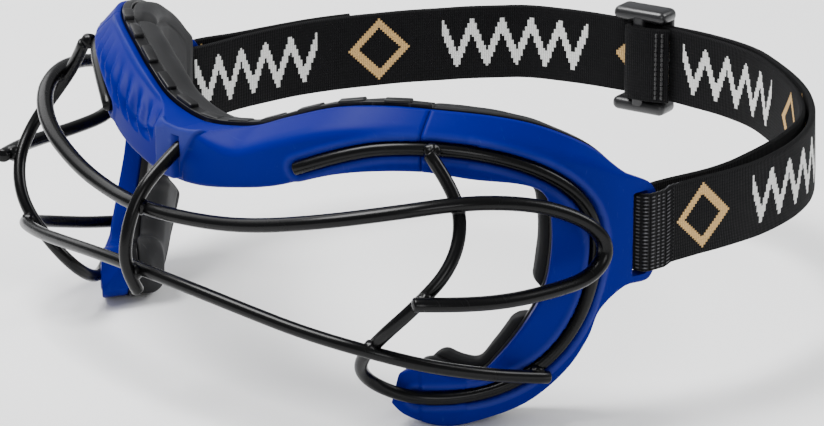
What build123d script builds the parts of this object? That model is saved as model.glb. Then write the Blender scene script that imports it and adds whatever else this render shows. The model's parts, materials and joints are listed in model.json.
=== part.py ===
"""Wire-cage sports goggles with a moulded frame, face pads and an elastic head strap.

The origin is the middle of the brow pad's rear face, where the goggles meet the forehead.
+X is the wearer's left, -Y is ahead of the wearer and +Z is up.
"""

from build123d import *
from math import cos, pi, sin
import os

# Driving dimensions, in millimetres.

# The frame wall follows the face: a rounded U in plan, with a thickness at temple and brow.
frame_half_width = 83.0
frame_reach = 72.0
plan_roundness = 1.87
wall_runs = 7
temple_wall = 3.6
brow_wall = 9.0
liner_temple_wall = 1.6
liner_brow_wall = 3.0
pad_temple_wall = 6.0
pad_brow_wall = 7.7
fit_gap = 0.15

# Heights are counted from the middle of the strap slots.
slot_drop = 16.0
wall_top = 38.0
wall_bottom = -50.0
seam_x = 58.0
liner_reveal = 0.8
hook_inner_x = 50.0
tooth_height = 1.6
tooth_width = 4.0
tooth_count = 11

# The strap, its slots and the bars behind them.
strap_width = 20.0
strap_thickness = 1.6
strap_gap = 0.3
slot_clearance = 0.5
slot_length = 4.4
bar_length = 4.0
slot_margin = 2.5
strap_start = 4.4
end_fold_length = 46.0
tack_width = 1.2
tack_height = 0.4

# The cage.
wire_diameter = 3.1
upper_wire_diameter = 3.8
groove_clearance = 0.15
bead_radius = 2.3

# The slider on the strap.
slider_length = 14.0
slider_cheek = 3.0
slider_rail = 3.2
slider_rail_depth = 1.9
slider_bar = 1.8
slider_clearance = 0.3
slider_travel = 8.0
slider_tail = 9.0

# Points of the outlines and of the cage were set on a frame of this size, and scale with it.
wide = frame_half_width / 83.0
deep = frame_reach / 72.0

# The brow pad's rear face lies behind the frame's front by these walls.
slot_back = frame_reach - brow_wall - liner_brow_wall - pad_brow_wall - 2 * fit_gap
slot_top = strap_width / 2 + slot_clearance
bar_rear = bar_length - 0.6
slot_front = bar_rear - bar_length - slot_length
pad_rear_limit = slot_front - slot_margin
strap_pitch = strap_thickness + strap_gap
far = 2 * frame_half_width

os.makedirs("parts", exist_ok=True)


def place(x, y, z):
    """A point counted from the middle of the line between the strap slots."""
    return (x * wide, y * deep + slot_back, z - slot_drop)


def across(point):
    """The same point on the wearer's other side."""
    return (-point[0], point[1], point[2])


def save(solid, name):
    solid.label = name
    export_step(solid, f"parts/{name}.step")


def turn(before, corner, after):
    """The tangent arc that rounds a corner, as large as its two runs allow."""
    into = (before - corner).normalized()
    away = (after - corner).normalized()
    share = 0.45 * min((before - corner).length, (after - corner).length)
    half_turn = into.get_angle(away) * pi / 360.0
    radius = share * sin(half_turn) / cos(half_turn)
    arc_start = corner + into * share
    arc_end = corner + away * share
    middle = corner + (into + away).normalized() * (share / cos(half_turn) - radius)
    return arc_start, middle, arc_end


def rounded_route(points):
    """Straight runs joined by tangent arcs."""
    points = [Vector(*point) for point in points]
    edges = []
    start = points[0]
    for before, corner, after in zip(points, points[1:], points[2:]):
        arc_start, middle, arc_end = turn(before, corner, after)
        edges.append(Edge.make_line(start, arc_start))
        edges.append(Edge.make_three_point_arc(arc_start, middle, arc_end))
        start = arc_end
    edges.append(Edge.make_line(start, points[-1]))
    return Wire(edges)


def rounded_outline(points):
    """A closed outline whose corners are all rounded."""
    points = [Vector(*point) for point in points]
    count = len(points)
    edges = []
    arcs = [turn(points[i - 1], points[i], points[(i + 1) % count]) for i in range(count)]
    for i, (arc_start, middle, arc_end) in enumerate(arcs):
        edges.append(Edge.make_three_point_arc(arc_start, middle, arc_end))
        edges.append(Edge.make_line(arc_end, arcs[(i + 1) % count][0]))
    return Wire(edges)


def bent_wire(points, diameter):
    """A round wire bent along a route."""
    route = rounded_route(points)
    with BuildPart() as wire:
        with BuildSketch(Plane(origin=route @ 0, z_dir=route % 0)):
            Circle(diameter / 2)
        sweep(path=route)
    return wire.part


# The frame wall.

def plan_point(angle, half_width, reach):
    """A point of the superellipse that the frame follows in plan."""
    power = 2.0 / plan_roundness
    side = 1 if sin(angle) > 0 else -1
    return side * half_width * abs(sin(angle)) ** power, slot_back - reach * abs(cos(angle)) ** power


def wall(outer_inset, inner_inset):
    """A U-shaped upright wall between two insets, each given at the temple and at the brow."""
    angles = [pi / 2 * step / wall_runs for step in range(-wall_runs, wall_runs + 1)]
    ends_y = slot_back + 2 * bar_length
    rims = []
    for inset_x, inset_y in (outer_inset, inner_inset):
        half = frame_half_width - inset_x
        reach = frame_reach - inset_y
        rim = [plan_point(angle, half, reach) for angle in angles]
        rims.append([(-half, ends_y), *rim, (half, ends_y)])
    outer, inner = [rounded_route(rim) for rim in rims]
    ends = [Edge.make_line(outer @ side, inner @ side) for side in (0, 1)]
    with BuildPart() as band:
        with BuildSketch(Plane.XY.offset(wall_bottom - slot_drop)):
            add(Face(Wire([*outer.edges(), *inner.edges(), *ends])))
        extrude(amount=wall_top - wall_bottom)
    return band.part


# Outline of the brow, seen from ahead: X and height of the left half, top then bottom.
brow_top = [(0, 21.0), (14, 22.2), (27, 27.2), (39, 31.0), (52, 32.6), (66, 31.4)]
brow_bottom = [(66, 17.4), (52, 18.8), (38, 15.8), (26, 11.8), (12, 9.2), (0, 8.2)]

# Outline of a temple and its cheek arm, seen from the side: Y and height.
temple_points = [
    (-60, 33.0), (-41, 31.7), (-27, 27.8), (-15, 22.0), (-4, slot_top + 4.3),
    (bar_rear, slot_top + 2.9), (bar_rear, -slot_top - 2.9), (-11.5, -slot_top - 0.9),
    (-15, -20.5), (-22, -31.0), (-32, -38.6), (-43, -42.6),
    (-51.4, -41.0), (-55, -34.6), (-49.6, -27.4), (-40.4, -31.6), (-32, -21.5), (-26.6, -9.0),
    (-25, 4.0), (-26.5, 13.6), (-40, 17.2), (-60, 19.4),
]


def brow_prism(growth):
    """The brow outline, carried through the wall."""
    half = brow_top[1:] + brow_bottom[:-1]
    points = [brow_top[0]] + half + [brow_bottom[-1]] + [(-x, z) for x, z in reversed(half)]
    outline = rounded_outline([(x * wide, z - slot_drop, 0) for x, z in points])
    with BuildPart() as prism:
        with BuildSketch(Plane.XZ) as face:
            add(Face(outline))
            offset(amount=growth)
        extrude(amount=far, both=True)
    return prism.part


def temple_prism():
    """The temple and arm outline, carried through the wall out from the cheek hook's tip."""
    outline = rounded_outline([(y * deep + slot_back, z - slot_drop, 0) for y, z in temple_points])
    with BuildPart() as prism:
        with BuildSketch(Plane.YZ):
            add(Face(outline))
        extrude(amount=far, both=True)
        add(block((hook_inner_x * wide, -far, -far), (far, far, far)), mode=Mode.INTERSECT)
    return prism.part


def block(low, high):
    """A box between two corners."""
    size = [b - a for a, b in zip(low, high)]
    middle = [(a + b) / 2 for a, b in zip(low, high)]
    return Pos(*middle) * Box(*size, mode=Mode.PRIVATE)


eye_level = -slot_drop
seam = seam_x * wide
shell_walls = ((0.0, 0.0), (temple_wall, brow_wall))
liner_front = (temple_wall + fit_gap, brow_wall + fit_gap)
liner_back = (liner_front[0] + liner_temple_wall, liner_front[1] + liner_brow_wall)
pad_front = (liner_back[0] + fit_gap, liner_back[1] + fit_gap)
pad_back = (pad_front[0] + pad_temple_wall, pad_front[1] + pad_brow_wall)
brow_zone = block((-seam, -far, eye_level), (seam, far, far))
left_brow_zone = block((0, -far, eye_level), (seam, far, far))

# Cage routes on the wearer's left, counted from the middle between the strap slots.
orbital_route = [
    place(33.6, -64.8, 17.6), place(45.0, -58.4, 23.0), place(56.3, -50.4, 24.9),
    place(67.4, -39.2, 23.6), place(75.2, -27.5, 18.9), place(79.4, -18.2, 11.4),
    place(80.7, -14.2, 1.8), place(80.4, -15.2, -8.0), place(79.2, -18.8, -18.4),
    place(76.4, -25.0, -26.8), place(71.6, -33.4, -32.6), place(65.0, -41.8, -35.4),
    place(57.6, -50.4, -35.4), place(52.8, -59.2, -30.8), place(54.6, -65.4, -24.0),
    place(64.6, -67.6, -14.6), place(72.2, -63.4, -6.0), place(75.3, -56.0, 1.6),
    place(73.0, -50.0, 9.4), place(68.0, -47.8, 17.0), place(61.9, -49.6, 24.2),
]
upper_half_route = [
    place(0.0, -82.6, 4.2), place(16.4, -79.6, 4.2), place(31.6, -76.6, 6.0),
    place(49.0, -71.2, 10.0), place(63.6, -61.4, 13.6), place(72.2, -50.2, 15.3),
    place(77.3, -39.6, 14.4), place(81.2, -29.6, 11.8), place(85.6, -20.8, 6.8),
    place(87.0, -17.2, 0.2), place(86.6, -22.6, -5.2), place(85.4, -34.4, -6.0),
    place(83.8, -46.4, -5.8), place(80.0, -57.4, -5.0), place(74.6, -66.0, -4.2),
]
lower_half_route = [
    place(0.0, -84.0, -10.2), place(17.0, -82.8, -11.0), place(32.4, -79.8, -13.0),
    place(48.0, -75.8, -15.4), place(63.4, -69.4, -17.6), place(70.4, -58.6, -21.8),
    place(73.4, -47.4, -25.4), place(75.4, -37.0, -28.4), place(77.0, -26.6, -30.8),
]
nose_route = [
    place(0.0, -66.0, 19.4), place(0.0, -75.4, 14.0), place(0.0, -83.6, 7.6),
    place(0.0, -87.6, -1.2), place(0.0, -88.0, -9.6), place(0.0, -84.4, -15.6),
]


def both_sides(route):
    """A route over both sides of the face from the one on the wearer's left."""
    return [across(point) for point in reversed(route[1:])] + route


# The shell of the frame: a brow and two temples, with a groove for the wires.

groove_diameter = wire_diameter + 2 * groove_clearance
groove_left = bent_wire(orbital_route, groove_diameter)
shell_wall = wall(*shell_walls)

with BuildPart() as brow_half:
    add(shell_wall)
    add(brow_prism(0.0), mode=Mode.INTERSECT)
    add(left_brow_zone, mode=Mode.INTERSECT)
    add(groove_left, mode=Mode.SUBTRACT)

with BuildPart() as brow_shell:
    add(brow_half.part)
    add(mirror(brow_half.part, about=Plane.YZ))
    add(bent_wire(nose_route, groove_diameter), mode=Mode.SUBTRACT)
save(brow_shell.part, "brow_shell")

slot_low = (0, slot_back + slot_front, -slot_drop - slot_top)
slot_high = (far, slot_back + slot_front + slot_length, -slot_drop + slot_top)

with BuildPart() as temple_frame_left:
    add(shell_wall)
    add(temple_prism(), mode=Mode.INTERSECT)
    add(left_brow_zone, mode=Mode.SUBTRACT)
    add(block(slot_low, slot_high), mode=Mode.SUBTRACT)
    add(groove_left, mode=Mode.SUBTRACT)
save(temple_frame_left.part, "temple_frame_left")
save(mirror(temple_frame_left.part, about=Plane.YZ), "temple_frame_right")

# The black inner frame that carries the pads.

liner_wall = wall(liner_front, liner_back)
pad_wall = wall(pad_front, pad_back)
ahead_of_slot = block((0, -far, -far), (far, slot_back + pad_rear_limit, far))


def inner_brow(wall_part, growth):
    """The stretch of an inner wall behind the brow, out to the seam."""
    with BuildPart() as piece:
        add(wall_part)
        add(brow_prism(growth), mode=Mode.INTERSECT)
        add(brow_zone, mode=Mode.INTERSECT)
    return piece.part


def inner_temple(wall_part):
    """The stretch of an inner wall behind the temple and cheek arm, ahead of the slot."""
    with BuildPart() as piece:
        add(wall_part)
        add(temple_prism(), mode=Mode.INTERSECT)
        add(left_brow_zone, mode=Mode.SUBTRACT)
        add(ahead_of_slot, mode=Mode.INTERSECT)
    return piece.part


liner_brow = inner_brow(liner_wall, liner_reveal)
save(liner_brow, "liner_brow")
liner_left = inner_temple(liner_wall)
save(liner_left, "liner_left")
save(mirror(liner_left, about=Plane.YZ), "liner_right")

# Teeth along the inner frame's top edge hook the pads on.
tooth_pitch = 2 * seam / tooth_count
with BuildPart() as liner_teeth:
    add(inner_brow(liner_wall, liner_reveal + tooth_height))
    add(brow_prism(liner_reveal), mode=Mode.SUBTRACT)
    for step in range(tooth_count + 1):
        x = (step - (tooth_count + 1) / 2) * tooth_pitch + tooth_width / 2
        gap = tooth_pitch - tooth_width
        add(block((x, -far, -far), (x + gap, far, far)), mode=Mode.SUBTRACT)
    add(block((-far, -far, -far), (far, far, 0)), mode=Mode.SUBTRACT)
save(liner_teeth.part, "liner_teeth")

# The face pads: brow, temples and cheeks, each a separate cushion.

pad_split = 1.5
brow_pad_reach = seam - 4 * pad_split
cheek_level = -slot_drop - 15.0
brow_pad_zone = block((-brow_pad_reach, -far, eye_level), (brow_pad_reach, far, far))
beyond_brow_pad = block((0, -far, -far), (brow_pad_reach + pad_split, far, far))
below_cheek_level = block((0, -far, -far), (far, far, cheek_level - pad_split))
above_cheek_level = block((0, -far, cheek_level), (far, far, far))

with BuildPart() as brow_pad:
    add(pad_wall)
    add(brow_prism(-fit_gap), mode=Mode.INTERSECT)
    add(brow_pad_zone, mode=Mode.INTERSECT)
save(brow_pad.part, "brow_pad")

with BuildPart() as temple_pad_left:
    add(pad_wall)
    add(temple_prism(), mode=Mode.INTERSECT)
    add(ahead_of_slot, mode=Mode.INTERSECT)
    add(above_cheek_level, mode=Mode.INTERSECT)
    add(beyond_brow_pad, mode=Mode.SUBTRACT)
save(temple_pad_left.part, "temple_pad_left")
save(mirror(temple_pad_left.part, about=Plane.YZ), "temple_pad_right")

with BuildPart() as cheek_pad_left:
    add(pad_wall)
    add(temple_prism(), mode=Mode.INTERSECT)
    add(below_cheek_level, mode=Mode.INTERSECT)
save(cheek_pad_left.part, "cheek_pad_left")
save(mirror(cheek_pad_left.part, about=Plane.YZ), "cheek_pad_right")

# The wire cage.

orbital_wire_left = bent_wire(orbital_route, wire_diameter)
save(orbital_wire_left, "orbital_wire_left")
save(mirror(orbital_wire_left, about=Plane.YZ), "orbital_wire_right")
save(bent_wire(both_sides(upper_half_route), upper_wire_diameter), "upper_wire")
save(bent_wire(both_sides(lower_half_route), wire_diameter), "lower_wire")
save(bent_wire(nose_route, wire_diameter), "nose_bar")

# Weld beads where the wires cross.
side_welds = [
    place(61.8, -48.6, 24.6), place(70.4, -49.2, 15.1), place(75.2, -62.0, -4.4),
    place(63.0, -68.6, -17.2), place(75.4, -29.0, -30.0),
]
centre_welds = [place(0.0, -84.6, 4.6), place(0.0, -85.8, -10.2)]


def beads(points, name):
    """Small weld beads, all in one node."""
    with BuildPart() as group:
        with Locations(*points):
            Sphere(bead_radius)
    save(group.part, name)


beads(side_welds, "weld_beads_left")
beads([across(point) for point in side_welds], "weld_beads_right")
beads(centre_welds, "weld_beads_centre")

# The elastic strap: flat bands standing on edge.

bar_inner_face = frame_half_width - temple_wall
layer_half = strap_gap + strap_thickness / 2
inner_x = bar_inner_face - layer_half
outer_x = frame_half_width + layer_half
slot_centre_y = slot_back + slot_front + slot_length / 2
wrap_end_y = slot_back + strap_start


def band(points, height):
    """A flat band on edge along a route seen in plan."""
    with BuildPart() as strip:
        with BuildSketch(Plane.XY.offset(-slot_drop - height / 2)):
            with BuildLine():
                add(rounded_route(points))
            trace(line_width=strap_thickness)
        extrude(amount=height)
    return strip.part


def beside(points, distance):
    """The route at a distance to the left of a flat route."""
    points = [Vector(*point) for point in points]
    moved = []
    for i, point in enumerate(points):
        before = (point - points[i - 1]).normalized() if i else (points[1] - point).normalized()
        after = (points[i + 1] - point).normalized() if i + 1 < len(points) else before
        along = (before + after).normalized()
        stretch = distance / along.dot(after)
        moved.append(point + Vector(-along.Y, along.X) * stretch)
    return moved


def on_plan(x, y):
    return Vector(x * wide, y + slot_back)


slider_run = [on_plan(-40.0, 91.0), on_plan(16.0, 104.5)]
main_route = [
    Vector(-inner_x, wrap_end_y + fit_gap), on_plan(-79.4, 17.0), on_plan(-77.0, 36.0), on_plan(-67.0, 56.0),
    on_plan(-54.0, 75.0), *slider_run, on_plan(42.0, 91.0), on_plan(64.0, 74.0),
    on_plan(78.0, 54.0), on_plan(84.2, 30.0), Vector(outer_x, wrap_end_y + fit_gap),
]
strap_main = band(main_route, strap_width)
save(strap_main, "strap_main")


def slot_turn(side, tail):
    """The fold through one slot and round its bar, from inside to outside."""
    inner = Vector(side * inner_x, wrap_end_y)
    outer = Vector(side * outer_x, wrap_end_y)
    fold = [Vector(side * inner_x, slot_centre_y), Vector(side * outer_x, slot_centre_y)]
    return [inner, *fold, outer, *tail] if tail else [inner, *fold, outer]


outer_layer = beside(main_route, strap_pitch)
fold_rest = end_fold_length - (outer_layer[2] - outer_layer[0]).length
fold_way = (outer_layer[3] - outer_layer[2]).normalized()
fold_points = [*outer_layer[1:3], outer_layer[2] + fold_way * fold_rest]
save(band(slot_turn(-1, fold_points), strap_width), "strap_end_right")
save(band(slot_turn(1, []), strap_width), "strap_turn_left")

# The slider sits on the strap's straight run behind the head. Its own plane has X along the
# strap towards the wearer's left, and Y outwards, away from the head.
run = slider_run[1] - slider_run[0]
along_strap = run.normalized()
slider_centre = slider_run[0] + run * 0.5 - Vector(0, 0, slot_drop)
slider_plane = Plane(origin=slider_centre, x_dir=along_strap, z_dir=(0, 0, 1))
rail_inner = strap_thickness / 2 + slider_clearance
loop_outer = -strap_thickness / 2 - slider_clearance
bar_outer = loop_outer - strap_thickness - slider_clearance
bar_inner = bar_outer - slider_bar
loop_inner = bar_inner - slider_clearance
slider_middle = (rail_inner + slider_rail_depth + bar_inner) / 2
slider_depth = rail_inner + slider_rail_depth - bar_inner
cheek_height = strap_width / 2 + slot_clearance + slider_cheek

with BuildPart() as slider:
    with BuildSketch(slider_plane.offset(-cheek_height)):
        with Locations((0, slider_middle)):
            RectangleRounded(slider_length, slider_depth, slider_rail / 2 - 0.1)
    extrude(amount=slider_cheek)
    with BuildSketch(slider_plane.offset(cheek_height - slider_cheek)):
        with Locations((0, slider_middle)):
            RectangleRounded(slider_length, slider_depth, slider_rail / 2 - 0.1)
    extrude(amount=slider_cheek)
    with BuildSketch(slider_plane.offset(-cheek_height)):
        with Locations(
            ((slider_rail - slider_length) / 2, rail_inner + slider_rail_depth / 2),
            ((slider_length - slider_rail) / 2, rail_inner + slider_rail_depth / 2),
        ):
            RectangleRounded(slider_rail, slider_rail_depth, 0.6)
        with Locations((0, (bar_outer + bar_inner) / 2)):
            RectangleRounded(slider_rail, slider_bar, 0.6)
    extrude(amount=2 * cheek_height)
save(slider.part, "slider")


def slider_point(u, v):
    """A point beside the slider, in plan."""
    return slider_run[0] + run * 0.5 + along_strap * u + Vector(-along_strap.Y, along_strap.X) * v


# The strap's sewn end wraps the slider's bar. The rest of the inner layer starts behind it.
near_v = loop_outer - strap_thickness / 2
far_v = loop_inner - strap_thickness / 2
turn_u = -slider_rail / 2 - slider_clearance - strap_thickness / 2
end_loop = [
    slider_point(slider_tail, near_v), slider_point(turn_u, near_v),
    slider_point(turn_u, far_v), slider_point(slider_tail, far_v),
]
save(band(end_loop, strap_width), "strap_end_loop")

return_start = slider_tail + slider_travel + strap_thickness
inner_layer = beside(main_route[6:], -strap_pitch)
return_route = [
    slider_point(return_start, near_v), *inner_layer[1:-2],
    on_plan(81.4, 27.0), Vector(inner_x, wrap_end_y + fit_gap),
]
strap_return = band(return_route, strap_width)
save(strap_return, "strap_return")

# Bar tacks: raised rows of thread across the sewn ends.
tack_size = (tack_width, tack_height, strap_width - 2.0)
tack_v = far_v - (strap_thickness + tack_height) / 2
with BuildPart() as slider_stitches:
    for u in (slider_tail - 1.5, slider_tail - 4.5):
        with Locations(slider_plane * Location((u, tack_v, 0))):
            Box(*tack_size)
save(slider_stitches.part, "slider_stitches")

fold_start = Vector(-outer_x, wrap_end_y)
fold_run = fold_points[0] - fold_start
tack_row = Plane(
    origin=fold_start + fold_run * 0.25 - Vector(0, 0, slot_drop),
    x_dir=fold_run.normalized(), z_dir=(0, 0, 1),
)
with BuildPart() as strap_stitches:
    for u in (0.0, 2.4):
        with Locations(tack_row * Location((u, (strap_thickness + tack_height) / 2, 0))):
            Box(*tack_size)
save(strap_stitches.part, "strap_stitches")
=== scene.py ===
import json
from math import cos, floor, pi, radians, sin

import bmesh
import bpy
import numpy as np
from mathutils import Matrix, Vector, noise


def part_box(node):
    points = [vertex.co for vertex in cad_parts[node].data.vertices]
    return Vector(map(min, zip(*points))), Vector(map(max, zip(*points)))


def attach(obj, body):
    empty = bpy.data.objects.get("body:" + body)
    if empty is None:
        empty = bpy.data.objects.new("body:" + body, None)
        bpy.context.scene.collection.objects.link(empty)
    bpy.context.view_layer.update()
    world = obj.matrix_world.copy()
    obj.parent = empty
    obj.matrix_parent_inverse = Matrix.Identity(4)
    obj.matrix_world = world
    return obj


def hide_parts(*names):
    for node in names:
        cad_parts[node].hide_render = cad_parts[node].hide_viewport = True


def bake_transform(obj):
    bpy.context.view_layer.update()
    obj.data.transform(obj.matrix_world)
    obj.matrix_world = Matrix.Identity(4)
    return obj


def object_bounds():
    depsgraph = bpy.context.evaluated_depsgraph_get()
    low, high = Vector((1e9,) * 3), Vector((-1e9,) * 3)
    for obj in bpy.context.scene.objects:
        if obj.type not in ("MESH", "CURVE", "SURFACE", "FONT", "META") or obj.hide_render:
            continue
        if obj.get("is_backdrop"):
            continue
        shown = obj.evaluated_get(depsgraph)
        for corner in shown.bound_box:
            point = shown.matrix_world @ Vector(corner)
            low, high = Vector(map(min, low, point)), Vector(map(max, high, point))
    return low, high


bl_info = {
    "name": "Cage Goggles Looks",
    "version": (1, 0, 0),
    "blender": (4, 5, 0),
    "location": "View3D > Sidebar > Goggles",
    "description": "Models the looks of wire-cage sports goggles round their packed frame",
    "category": "Object",
}

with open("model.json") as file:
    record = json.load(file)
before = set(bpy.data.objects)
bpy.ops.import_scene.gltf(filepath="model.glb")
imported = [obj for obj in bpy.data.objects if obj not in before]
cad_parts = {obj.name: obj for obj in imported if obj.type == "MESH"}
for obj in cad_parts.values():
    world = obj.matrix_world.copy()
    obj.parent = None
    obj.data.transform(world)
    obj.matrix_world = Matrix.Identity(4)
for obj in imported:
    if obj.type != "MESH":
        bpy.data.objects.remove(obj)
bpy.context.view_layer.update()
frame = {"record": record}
MM = 0.001

# The frame wall in plan is a superellipse through the temples and the brow.
TEMPLE_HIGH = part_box("temple_frame_left")[1]
BROW_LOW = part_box("brow_shell")[0]
SLOT = next(m for m in frame["record"]["mounts"] if m["name"] == "strap_slot_left")["pos_m"]
HALF_WIDTH = TEMPLE_HIGH.x / MM
SLOT_DROP = -SLOT[2] / MM
PLAN_ROUNDNESS = 1.87
BAR_REAR = 3.4
SLOT_BACK = TEMPLE_HIGH.y / MM - BAR_REAR
REACH = SLOT_BACK - BROW_LOW.y / MM
SHELL_FRONT, SHELL_BACK = (0.0, 0.0), (3.6, 9.0)
LINER_FRONT, LINER_BACK = (3.75, 9.15), (5.35, 12.15)
PAD_FRONT, PAD_BACK = (5.5, 12.3), (11.5, 20.0)
SEAM_X = 58.0
STRAP_WIDTH = 20.0
STRAP_THICKNESS = 1.6
SIDES = ((1, "left"), (-1, "right"))


def plan_point(angle, inset):
    """A point of the wall in plan, counted from the middle between the slots."""
    power = 2.0 / PLAN_ROUNDNESS
    return (HALF_WIDTH - inset[0]) * sin(angle) ** power, -(REACH - inset[1]) * cos(angle) ** power


ANGLES = np.linspace(0.0, pi / 2, 400)
PLAN = np.array([plan_point(angle, SHELL_FRONT) for angle in ANGLES])
ARC = np.concatenate([[0.0], np.cumsum(np.linalg.norm(np.diff(PLAN, axis=0), axis=1))])


def front(x, z):
    """A place on the wall from its X and height: how far round the wall it is, and its height."""
    return float(np.interp(x, PLAN[:, 0], ARC)), z


def side(y, z):
    """A place on the wall from its Y and height."""
    beyond = max(y, 0.0)
    return float(np.interp(min(y, 0.0), PLAN[:, 1], ARC)) + beyond, z


def on_wall(arc, z, inset, out=0.0):
    """The point in space at a place on the wall, in metres. A negative arc is the right side."""
    way = 1 if arc >= 0 else -1
    angle = float(np.interp(abs(arc), ARC, ANGLES))
    beyond = max(abs(arc) - ARC[-1], 0.0)
    x, y = plan_point(angle, inset)
    ahead = plan_point(max(angle - 0.01, 0.0), SHELL_FRONT)
    behind = plan_point(min(angle + 0.01, pi / 2), SHELL_FRONT)
    normal = Vector((behind[1] - ahead[1], ahead[0] - behind[0])).normalized()
    x += normal.x * out
    y += normal.y * out + beyond
    return at(way * x, y, z)


def at(x, y, z):
    """A point in space counted from the middle between the slots, in metres."""
    return Vector((x, y + SLOT_BACK, z - SLOT_DROP)) * MM


# Across the frame's band from the eye's edge to the outer edge, from the nose round the temple
# and under the cheek.
BAND = [
    (front(0, 8.2), front(0, 21.0)),
    (front(8, 8.6), front(7, 21.6)),
    (front(17, 10.0), front(17, 23.4)),
    (front(27, 12.1), front(27, 27.2)),
    (front(38, 15.9), front(38.5, 31.0)),
    (front(48, 18.2), front(49, 32.4)),
    (front(58, 18.8), front(58, 32.2)),
    (side(-40.5, 17.1), side(-38, 30.9)),
    (side(-33, 15.9), side(-27.5, 28.0)),
    (side(-28.5, 14.3), side(-16, 22.4)),
    (side(-26.4, 12.0), side(-7, 15.4)),
    (side(-25.6, 9.0), side(0.6, 11.4)),
    (side(-25.2, 4.5), side(3.4, 5.0)),
    (side(-25.2, 0.0), side(3.4, -4.0)),
    (side(-25.6, -4.5), side(0.8, -11.3)),
    (side(-26.3, -8.5), side(-7, -12.0)),
    (side(-27.6, -12.5), side(-13.4, -16.4)),
    (side(-30, -17.0), side(-16.5, -23.0)),
    (side(-33, -21.8), side(-21.5, -30.0)),
    (side(-36.5, -26.6), side(-29.5, -36.8)),
    (side(-40, -30.6), side(-38, -40.6)),
    (side(-44, -30.4), side(-45, -42.4)),
    (side(-49, -28.2), side(-51, -40.0)),
    (side(-53, -30.5), side(-53.6, -36.0)),
]
SEAM_STATION = 6
LAST_STATION = len(BAND) - 1


def along(points, place):
    """A smooth line through points, at a place counted in points."""
    last = len(points) - 1
    place = min(max(place, 0.0), float(last))
    i = min(int(floor(place)), last - 1)
    t = place - i
    a, b = points[max(i - 1, 0)], points[i]
    c, d = points[i + 1], points[min(i + 2, last)]
    return b + (c - a) * (t / 2) + (2 * a - 5 * b + 4 * c - d) * (t * t / 2) \
        + (3 * b - a - 3 * c + d) * (t ** 3 / 2)


EYE_EDGE = [np.array(eye) for eye, _ in BAND]
OUTER_EDGE = [np.array(outer) for _, outer in BAND]


# Wire routes on the left side, counted from the middle between the slots.
ORBITAL = [
    (33.6, -64.8, 17.6), (45.0, -58.4, 23.0), (56.3, -50.4, 24.9), (67.4, -39.2, 23.6),
    (75.2, -27.5, 18.9), (79.4, -18.2, 11.4), (80.7, -14.2, 1.8), (80.4, -15.2, -8.0),
    (79.2, -18.8, -18.4), (76.4, -25.0, -26.8), (71.6, -33.4, -32.6), (65.0, -41.8, -35.4),
    (57.6, -50.4, -35.4), (52.8, -59.2, -30.8), (54.6, -65.4, -24.0), (64.6, -67.6, -14.6),
    (72.2, -63.4, -6.0), (75.3, -56.0, 1.6), (73.0, -50.0, 9.4), (68.0, -47.8, 17.0),
    (61.9, -49.6, 24.2),
]
UPPER = [
    (0.0, -82.6, 4.2), (16.4, -79.6, 4.2), (31.6, -76.6, 6.0), (49.0, -71.2, 10.0),
    (63.6, -61.4, 13.6), (72.2, -50.2, 15.3), (77.3, -39.6, 14.4), (81.2, -29.6, 11.8),
    (85.6, -20.8, 6.8), (87.0, -17.2, 0.2), (86.6, -22.6, -5.2), (85.4, -34.4, -6.0),
    (83.8, -46.4, -5.8), (80.0, -57.4, -5.0), (74.6, -66.0, -4.2),
]
LOWER = [
    (0.0, -84.0, -10.2), (17.0, -82.8, -11.0), (32.4, -79.8, -13.0), (48.0, -75.8, -15.4),
    (63.4, -69.4, -17.6), (70.4, -58.6, -21.8), (73.4, -47.4, -25.4), (75.4, -37.0, -28.4),
    (77.0, -26.6, -30.8),
]
NOSE = [
    (0.0, -66.0, 19.4), (0.0, -75.4, 14.0), (0.0, -83.6, 7.6), (0.0, -87.6, -1.2),
    (0.0, -88.0, -9.6), (0.0, -84.4, -15.6),
]
WELDS = [
    (61.4, -48.4, 24.6), (70.4, -49.2, 15.1), (75.2, -62.0, -4.4), (63.0, -68.6, -17.2),
    (75.4, -29.0, -30.0),
]
NOSE_WELDS = [(0.0, -84.6, 4.6), (0.0, -85.8, -10.2)]
GROOVE_END = 12


def mirrored(points):
    """The points on the wearer's right."""
    return [(-x, y, z) for x, y, z in points]


def both_sides(points):
    """A route over both sides from the one on the left."""
    return mirrored(points)[:0:-1] + points


def smooth_route(points, steps=8):
    """A quadratic B-spline through the middles of a route's runs, from its first to last point."""
    points = [Vector(point) for point in points]
    middles = [(a + b) / 2 for a, b in zip(points, points[1:])]
    middles[0], middles[-1] = points[0], points[-1]
    line = []
    for start, corner, end in zip(middles, points[1:-1], middles[1:]):
        for step in range(steps):
            t = step / steps
            line.append(start * (1 - t) ** 2 + corner * (2 * t * (1 - t)) + end * t * t)
    return line + [middles[-1]]


GROOVE_ROUTE = smooth_route(ORBITAL[:GROOVE_END + 1], 10)
# The perimeter wire's line on the wall, as places round it and heights.
GROOVE = np.array([front(p.x, p.z) if p.x < 60 else side(p.y, p.z) for p in GROOVE_ROUTE])


def ease(low, high, value):
    """0 below low, 1 above high and smooth between."""
    t = min(max((value - low) / (high - low), 0.0), 1.0)
    return t * t * (3 - 2 * t)


# Meshes.

def finished(name, bm, body, material, slot, *replaces):
    """Makes the object of a finished bmesh, smooth shaded, riding on its body.

    The slot, the record's material slot that matches the finish, is not used."""
    mesh = bpy.data.meshes.new(name)
    bmesh.ops.recalc_face_normals(bm, faces=bm.faces)
    for face in bm.faces:
        face.smooth = True
    bm.to_mesh(mesh)
    bm.free()
    piece = bpy.data.objects.new(name, mesh)
    bpy.context.scene.collection.objects.link(piece)
    mesh.materials.append(material)
    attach(piece, body)
    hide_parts(*replaces)
    return piece


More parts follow.
